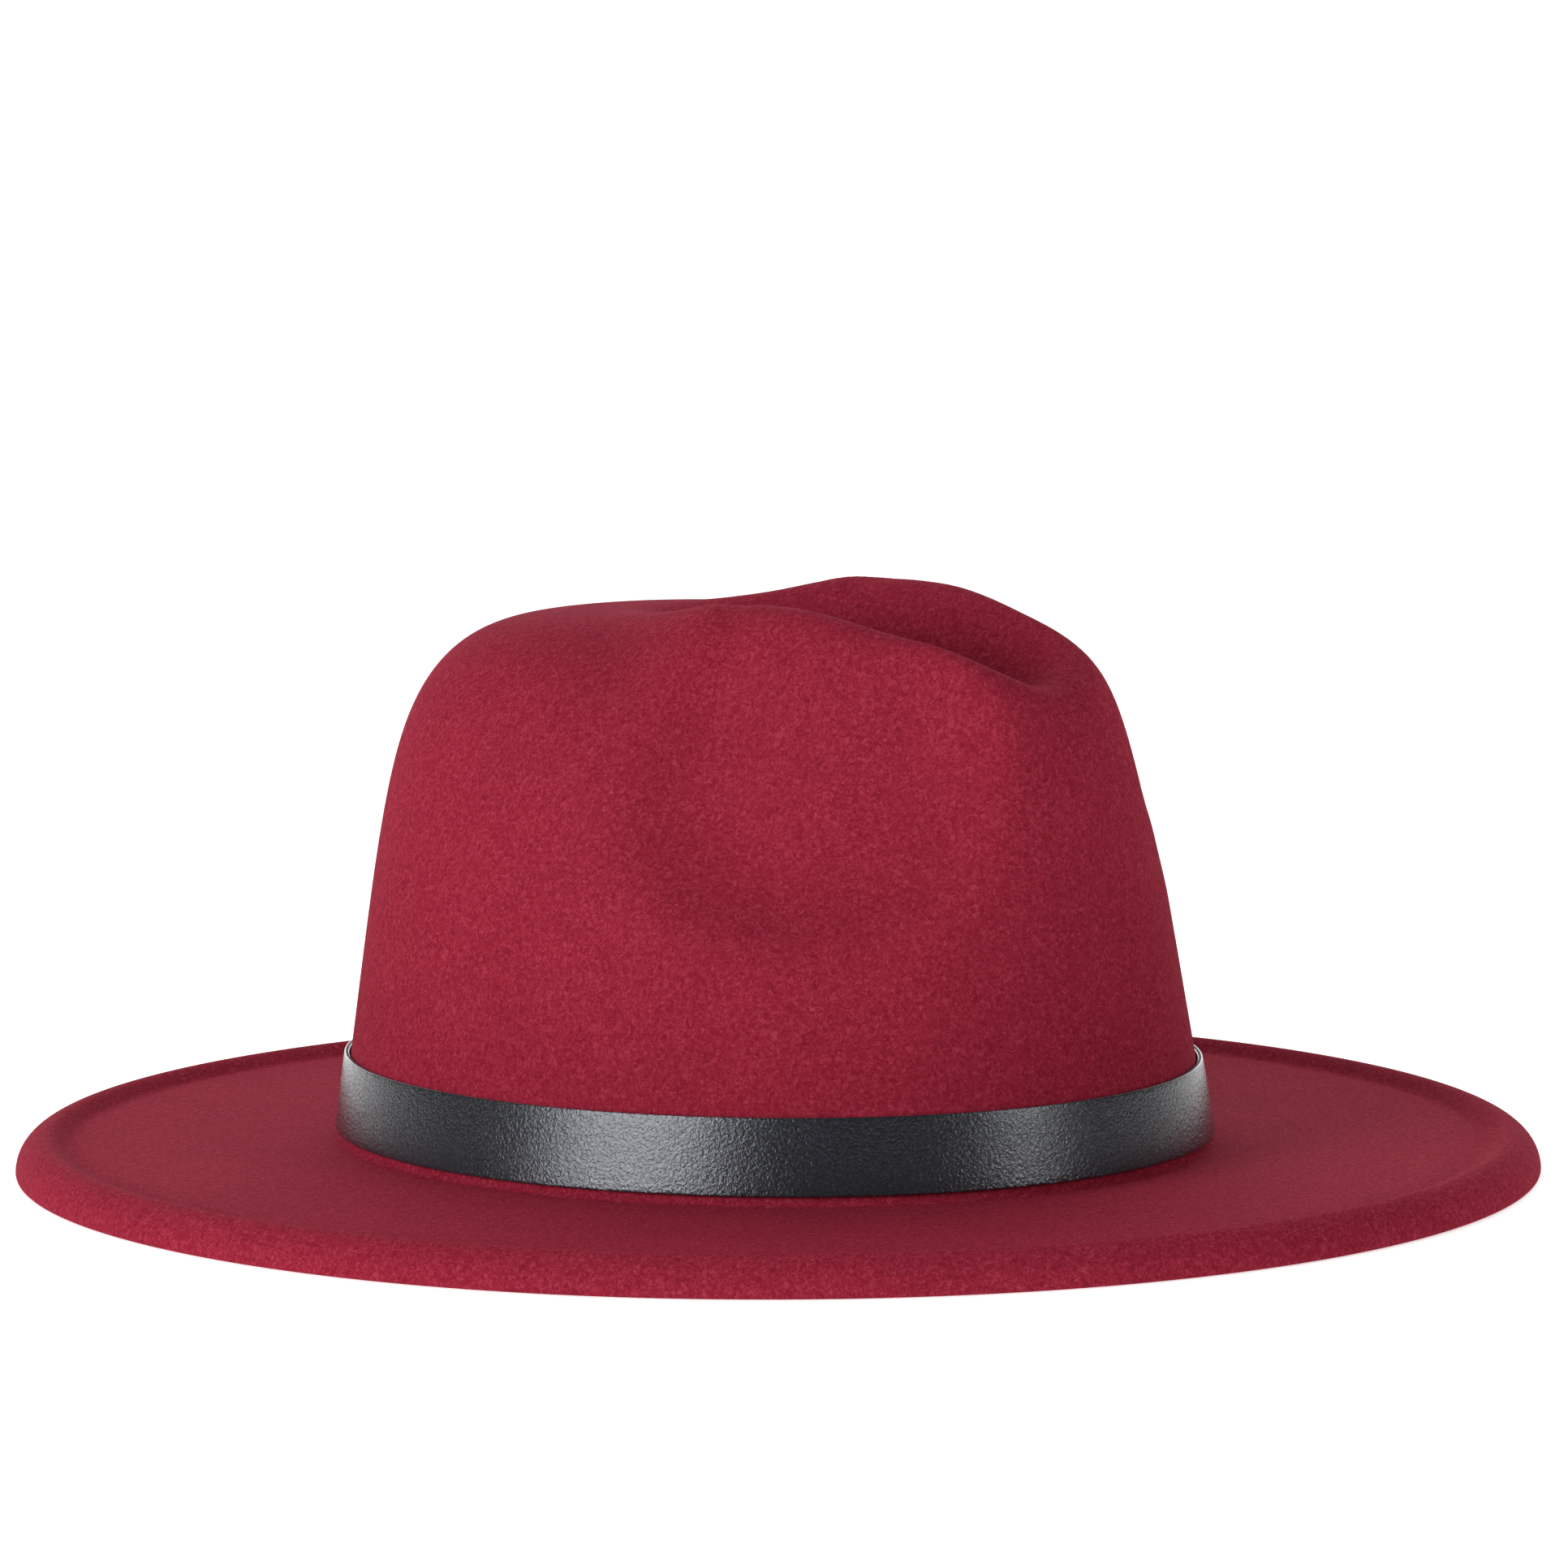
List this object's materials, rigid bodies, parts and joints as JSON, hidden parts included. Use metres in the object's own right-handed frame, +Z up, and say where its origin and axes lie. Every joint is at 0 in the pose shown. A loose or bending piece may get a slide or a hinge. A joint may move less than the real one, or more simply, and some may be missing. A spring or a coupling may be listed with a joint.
{
  "type": "fedora",
  "caption": "Wide-brimmed felt fedora with a teardrop crease, pinches at the front, a rolled brim border and a leather band.",
  "frame": {"origin": "under the middle of the hat, in the plane of the brim border's cut edge on which it rests", "axes": "+Z up through the crown, -Y the way the front of the hat faces, +X the wearer's left"},
  "size_m": [0.3154, 0.3433, 0.1288],
  "materials": {
    "felt": "matte wine-red wool felt with a soft nap",
    "band_leather": "satin black coated leather with a fine grain"
  },
  "bodies": {
    "root": {"felt_body": "felt", "band": "band_leather"}
  },
  "joints": []
}
